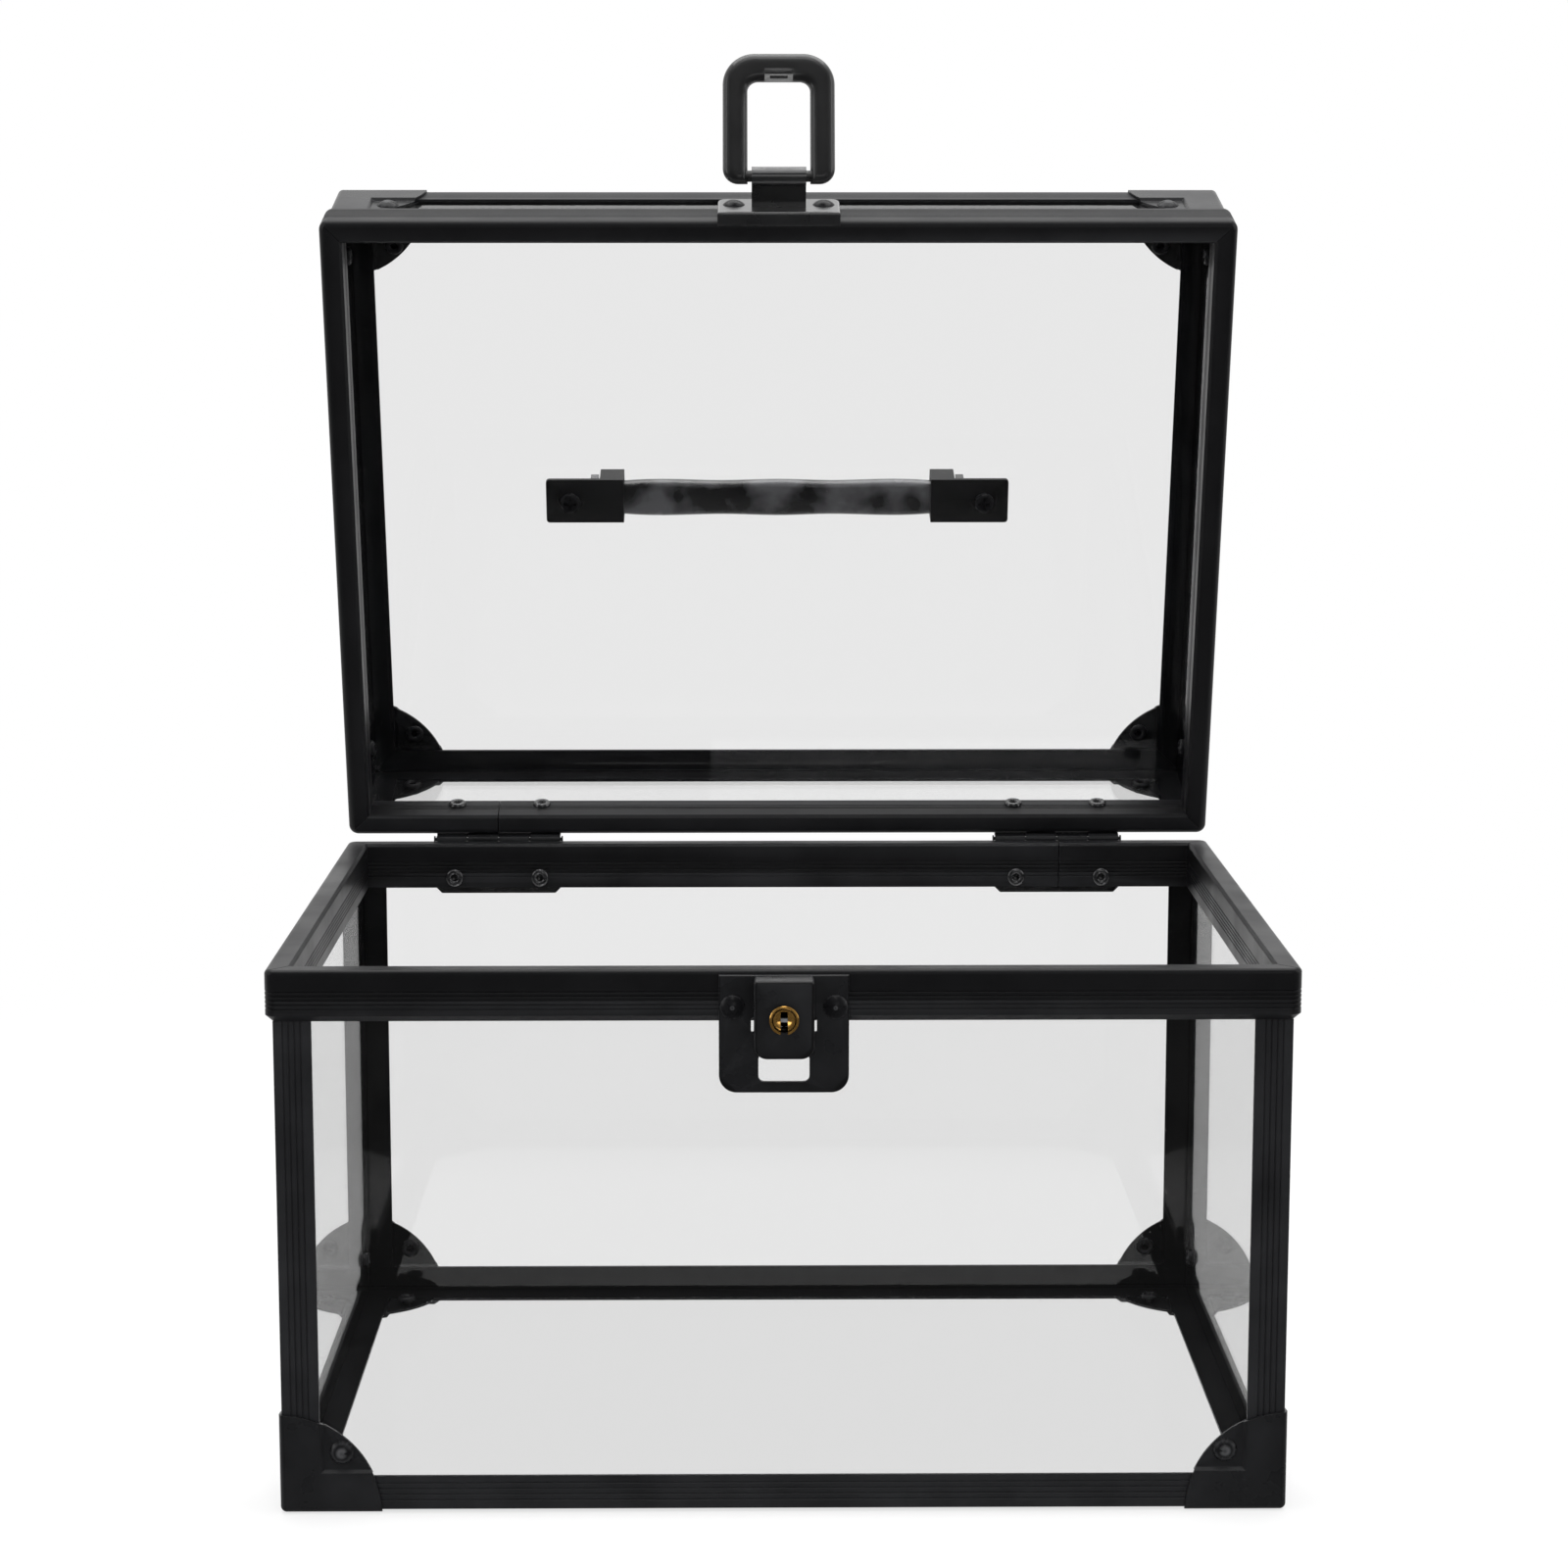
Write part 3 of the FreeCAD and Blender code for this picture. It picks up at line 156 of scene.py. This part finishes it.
def acrylicSheet(name, look):
    material, tree = newMaterial(name)
    place = addNode(tree, "ShaderNodeTexCoord")
    fine, long = (perMetre(size) for size in look["scratchMm"])
    hair = None
    for turn in look["scratchTurns"]:
        mapping = addNode(tree, "ShaderNodeMapping",
                          {"Rotation": [math.radians(turn * share) for share in look["turnShares"]],
                           "Scale": [fine, long, fine * look["scratchDepth"]]}, {"Vector": (place, "Object")})
        streak = addNode(tree, "ShaderNodeTexNoise", {"Scale": 1.0, "Detail": 0.0}, {"Vector": (mapping, 0)})
        line = addNode(tree, "ShaderNodeMapRange", span(look["streak"]), {"Value": (streak, "Fac")})
        hair = line if hair is None else addNode(tree, "ShaderNodeMath", {}, {0: (hair, 0), 1: (line, 0)},
                                                 operation="MAXIMUM")
    dust = addNode(tree, "ShaderNodeTexVoronoi", {"Scale": perMetre(look["speckMm"]), "Randomness": 1.0},
                   {"Vector": (place, "Object")})
    speck = addNode(tree, "ShaderNodeMapRange", span(look["speck"]), {"Value": (dust, "Distance")})
    marks = addNode(tree, "ShaderNodeMath", {}, {0: (hair, 0), 1: (speck, 0)}, operation="MAXIMUM")
    rough = addNode(tree, "ShaderNodeMapRange", span((0.0, 1.0), look["rough"]), {"Value": (marks, 0)})
    slant = addNode(tree, "ShaderNodeLayerWeight", {"Blend": look["slant"]})
    tint = addNode(tree, "ShaderNodeMix", {"A": linear(look["tint"]), "B": linear(look["edgeTint"])},
                   {"Factor": (slant, "Facing")}, data_type="RGBA")  # more sheet to look through at a slant
    sheet = addNode(tree, "ShaderNodeBsdfPrincipled",
                    {"IOR": look["ior"], "Specular IOR Level": look["specular"], "Transmission Weight": 1.0},
                    {"Base Color": (tint, "Result"), "Roughness": (rough, 0)})
    clear = addNode(tree, "ShaderNodeBsdfTransparent", {"Color": linear(look["lampTint"])})
    path = addNode(tree, "ShaderNodeLightPath")
    both = addNode(tree, "ShaderNodeMixShader", {},
                   {0: (path, "Is Shadow Ray"), 1: (sheet, 0), 2: (clear, 0)})  # lamps shine through the sheet
    addNode(tree, "ShaderNodeOutputMaterial", {}, {"Surface": (both, 0)})
    return material


clearAcrylic = acrylicSheet("castAcrylicClear", acrylicLook)
frontAcrylic = acrylicSheet("castAcrylicFront", frontLook)
sideAcrylic = acrylicSheet("castAcrylicSide", sideLook)
lidFrontAcrylic = acrylicSheet("castAcrylicLidFront", lidFrontLook)
dulledAcrylicWithPaintedShade = acrylicSheet("castAcrylicDulledPaintedShade", dulledLookWithPaintedShade)


# Bright metals in the lock: brass turned to a dish with a rolled rim, with painted shade darkening its keyway and
# grooves, and zinc-plated steel with fine lathe rings

# painted shade: past the given depth behind the plug's face each metal turns dark, in the keyway, the ring groove
# and the gaps inside the lock
brassLook = {"dark": "#B5813A", "light": "#E2B466", "recessShade": "#0E0B07", "recessShadeMm": (0.15, 0.3), "ringMm": 5.4,
             "cloudMm": 4.0, "cloudDetail": 3.0, "rough": (0.16, 0.24), "bump": 1.0, "bumpMm": 0.7, "metal": 0.9}
zincLook = {"dark": "#8E9092", "light": "#C9CBCD", "recessShade": "#5A5B5D", "recessShadeMm": (2.0, 6.0), "ringMm": 0.4,
            "cloudMm": 2.0, "cloudDetail": 3.0, "rough": (0.28, 0.45), "bump": 0.1, "bumpMm": 0.02, "metal": 0.7}


def brightMetal(name, look, axisPoint):
    material, tree = newMaterial(name)
    place = addNode(tree, "ShaderNodeTexCoord")
    centred = addNode(tree, "ShaderNodeMapping",
                      {"Location": [-axisPoint[0], 0, -axisPoint[2]], "Scale": [1, 0, 1]},
                      {"Vector": (place, "Object")})
    radius = addNode(tree, "ShaderNodeVectorMath", {}, {0: (centred, 0)}, operation="LENGTH")
    rings = addNode(tree, "ShaderNodeMath", {1: 2 * math.pi * perMetre(look["ringMm"])}, {0: (radius, "Value")},
                    operation="MULTIPLY")
    wave = addNode(tree, "ShaderNodeMath", {}, {0: (rings, 0)}, operation="COSINE")
    cloud = addNode(tree, "ShaderNodeTexNoise",
                    {"Scale": perMetre(look["cloudMm"]), "Detail": look["cloudDetail"]},
                    {"Vector": (place, "Object")})
    tone = addNode(tree, "ShaderNodeMix", {"A": linear(look["dark"]), "B": linear(look["light"])},
                   {"Factor": (cloud, "Fac")}, data_type="RGBA")
    split = addNode(tree, "ShaderNodeSeparateXYZ", {}, {0: (place, "Object")})
    shadeDepths = [axisPoint[1] + depth * mm for depth in look["recessShadeMm"]]
    inside = addNode(tree, "ShaderNodeMapRange", span(shadeDepths), {"Value": (split, "Y")})
    colour = addNode(tree, "ShaderNodeMix", {"B": linear(look["recessShade"])},
                     {"Factor": (inside, 0), "A": (tone, "Result")}, data_type="RGBA")  # painted shade: darker behind the plug's face, in its keyway, ring groove and gaps
    rough = addNode(tree, "ShaderNodeMapRange", span((0.0, 1.0), look["rough"]), {"Value": (cloud, "Fac")})
    bump = addNode(tree, "ShaderNodeBump", {"Strength": look["bump"], "Distance": look["bumpMm"] * mm},
                   {"Height": (wave, 0)}, invert=True)
    shader = addNode(tree, "ShaderNodeBsdfPrincipled", {"Metallic": look["metal"]},
                     {"Base Color": (colour, "Result"), "Roughness": (rough, 0), "Normal": (bump, 0)})
    addNode(tree, "ShaderNodeOutputMaterial", {}, {"Surface": (shader, 0)})
    return material


plugAxis = joints["key_turn"]["pos_m"]
turnedBrass = brightMetal("turnedBrass", brassLook, plugAxis)
zincSteel = brightMetal("zincPlatedSteel", zincLook, plugAxis)
print("acrylic and bright metals made")


# Every solid gets the finish of its own kind

finishOf = {"acrylic": clearAcrylic, "rim_aluminium": anodisedAluminium, "angle_aluminium": anodisedAluminium,
            "cap_steel": enamelledSteel, "rivet_steel": blackenedRivet, "hinge_steel": enamelledSteel,
            "lock_steel": enamelledSteel, "inner_steel": zincSteel, "plug_brass": turnedBrass,
            "bracket_plastic": mouldedAbs, "strap_plastic": strapPvcPaintedReflection}
# pieces that differ from their kind
ownFinish = {"hasp_plate": lacqueredZinc, "hasp_loop": rubbedZinc, "handle_screws": blackenedRivet,
             "base_hinge_rivets": clinchedRivetWearAndGlint, "lid_hinge_rivets": clinchedRivetWearAndGlint,
             "base_floor_panel": dulledAcrylicWithPaintedShade, "base_front_panel": frontAcrylic,
             "base_left_panel": sideAcrylic, "base_right_panel": sideAcrylic, "lid_front_panel": lidFrontAcrylic}

for piece in frame["record"]["subparts"]:
    finish = ownFinish.get(piece["node"], finishOf[piece["material_slot"]])
    slots = nodes[piece["node"]].data.materials
    for index in range(len(slots)):
        slots[index] = finish
print("finishes laid on")


# Studio: white floor and sweep, soft boxes above, at the sides and in front, a dark flag on the camera's side

studio = {"floorSize": 12.0, "floorColour": "#F6F6F6", "floorGlow": 0.7, "floorDrop": 0.0002,
          "fade": (0.25, 0.6), "flag": (-0.05, -0.15), "dimFront": 0.05, "worldDim": (-0.75, 0.1),
          "worldDiffuse": 0.55, "worldColour": "#FFFFFF"}


def studioFloor(look):
    half = look["floorSize"] / 2
    mesh = bpy.data.meshes.new("studioFloor")
    corners = [(-half, -half), (half, -half), (half, half), (-half, half)]
    mesh.from_pydata([(x, y, -look["floorDrop"]) for x, y in corners], [], [(0, 1, 2, 3)])
    floor = bpy.data.objects.new("studioFloor", mesh)
    bpy.context.scene.collection.objects.link(floor)
    material, tree = newMaterial("matteWhiteSweep")
    matte = addNode(tree, "ShaderNodeBsdfDiffuse", {"Color": linear(look["floorColour"])})
    glow = addNode(tree, "ShaderNodeEmission", {"Strength": 1.0})
    path = addNode(tree, "ShaderNodeLightPath")
    seen = addNode(tree, "ShaderNodeMath", {}, {0: (path, "Is Camera Ray"), 1: (path, "Is Glossy Ray")},
                   operation="MAXIMUM")
    place = addNode(tree, "ShaderNodeNewGeometry")
    away = addNode(tree, "ShaderNodeVectorMath", {}, {0: (place, "Position")}, operation="LENGTH")
    fade = addNode(tree, "ShaderNodeMapRange", span(look["fade"], (look["floorGlow"], 1.0)),
                   {"Value": (away, "Value")}, interpolation_type="SMOOTHSTEP")  # shadow near the box, white beyond
    faded = addNode(tree, "ShaderNodeMath", {}, {0: (seen, 0), 1: (fade, 0)}, operation="MULTIPLY")
    share = addNode(tree, "ShaderNodeMath", {}, {0: (faded, 0), 1: (path, "Is Transmission Ray")},
                    operation="MAXIMUM")  # an even white through the sheets
    both = addNode(tree, "ShaderNodeMixShader", {}, {0: (share, 0), 1: (matte, 0), 2: (glow, 0)})
    split = addNode(tree, "ShaderNodeSeparateXYZ", {}, {0: (place, "Position")})
    front = addNode(tree, "ShaderNodeMapRange", span(look["flag"], (0.0, 1 - look["dimFront"])),
                    {"Value": (split, "Y")}, interpolation_type="SMOOTHSTEP")
    mirror = addNode(tree, "ShaderNodeMath", {1: 1.0}, {0: (path, "Glossy Depth")}, operation="MINIMUM")
    flag = addNode(tree, "ShaderNodeMath", {}, {0: (mirror, 0), 1: (front, 0)}, operation="MULTIPLY")
    dark = addNode(tree, "ShaderNodeEmission", {"Strength": 0.0})
    flagged = addNode(tree, "ShaderNodeMixShader", {},
                      {0: (flag, 0), 1: (both, 0), 2: (dark, 0)})  # the flag shows in mirrored light only
    addNode(tree, "ShaderNodeOutputMaterial", {}, {"Surface": (flagged, 0)})
    mesh.materials.append(material)


def studioWorld(look):
    world = bpy.data.worlds.new("studioWorld")
    bpy.context.scene.world = world
    world.use_nodes = True
    tree = world.node_tree
    tree.nodes.clear()
    place = addNode(tree, "ShaderNodeTexCoord")
    split = addNode(tree, "ShaderNodeSeparateXYZ", {}, {0: (place, "Generated")})
    front = addNode(tree, "ShaderNodeMapRange", span(look["worldDim"], (look["dimFront"], 1.0)),
                    {"Value": (split, "Y")}, interpolation_type="SMOOTHSTEP")  # dim towards the camera's side
    path = addNode(tree, "ShaderNodeLightPath")
    seen = addNode(tree, "ShaderNodeMath", {}, {0: (path, "Is Camera Ray"), 1: (path, "Is Transmission Ray")},
                   operation="MAXIMUM")
    mirror = addNode(tree, "ShaderNodeMath", {1: 1.0}, {0: (path, "Glossy Depth")}, operation="MINIMUM")
    direct = addNode(tree, "ShaderNodeMath", {}, {0: (seen, 0), 1: (mirror, 0)}, operation="SUBTRACT",
                     use_clamp=True)
    mirrored = addNode(tree, "ShaderNodeMath", {}, {0: (mirror, 0), 1: (front, 0)}, operation="MULTIPLY")
    plain = addNode(tree, "ShaderNodeMath", {1: look["worldDiffuse"]}, {0: (path, "Is Diffuse Ray")},
                    operation="MULTIPLY")
    visible = addNode(tree, "ShaderNodeMath", {}, {0: (direct, 0), 1: (mirrored, 0)}, operation="MAXIMUM")
    strength = addNode(tree, "ShaderNodeMath", {}, {0: (visible, 0), 1: (plain, 0)}, operation="MAXIMUM")
    sky = addNode(tree, "ShaderNodeBackground", {"Color": linear(look["worldColour"])},
                  {"Strength": (strength, 0)})
    addNode(tree, "ShaderNodeOutputWorld", {}, {"Surface": (sky, 0)})


softBoxes = [  # name, place, aim, width, height, watts
    ("overheadBox", (0.0, 0.25, 1.5), (0, 0, 0.15), 1.6, 1.2, 22),
    ("leftBox", (-1.3, -0.55, 0.7), (0, 0, 0.25), 0.35, 1.2, 4),
    ("rightBox", (1.3, -0.35, 0.7), (0, 0, 0.25), 0.35, 1.2, 4),
    ("frontBox", (0.0, -0.85, 1.55), (0, 0.03, 0.36), 0.5, 0.6, 2.5),
    ("keyBox", (0.25, -1.6, 0.55), (0, 0, 0.15), 0.6, 0.6, 1.8),
]


def softBox(name, place, aim, width, height, watts):
    lamp = bpy.data.lights.new(name, "AREA")
    lamp.shape = "RECTANGLE"
    lamp.size = width
    lamp.size_y = height
    lamp.energy = watts
    box = bpy.data.objects.new(name, lamp)
    box.location = place
    box.rotation_euler = (Vector(aim) - Vector(place)).to_track_quat("-Z", "Y").to_euler()
    bpy.context.scene.collection.objects.link(box)


studioFloor(studio)
studioWorld(studio)
for row in softBoxes:
    softBox(*row)
bpy.context.scene.view_settings.view_transform = "Standard"
print("studio set")


# Camera, solved from the box's own straight edges

viewpoint = {"place": (-0.00827, -0.96612, 0.3233), "pitch": 8.929, "yaw": 0.556,  # metres, degrees
             "focal": 3565.96, "frame": 1600,  # pixels
             "sensor": 36.0, "clipStart": 0.05}  # mm, metres
camera = bpy.data.cameras.new("camera")
camera.sensor_width = viewpoint["sensor"]
camera.lens = viewpoint["focal"] / viewpoint["frame"] * viewpoint["sensor"]
camera.clip_start = viewpoint["clipStart"]
cameraObject = bpy.data.objects.new("camera", camera)
cameraObject.location = viewpoint["place"]
cameraObject.rotation_euler = (math.radians(90 - viewpoint["pitch"]), 0, math.radians(-viewpoint["yaw"]))
bpy.context.scene.collection.objects.link(cameraObject)
bpy.context.scene.camera = cameraObject
print("camera placed")
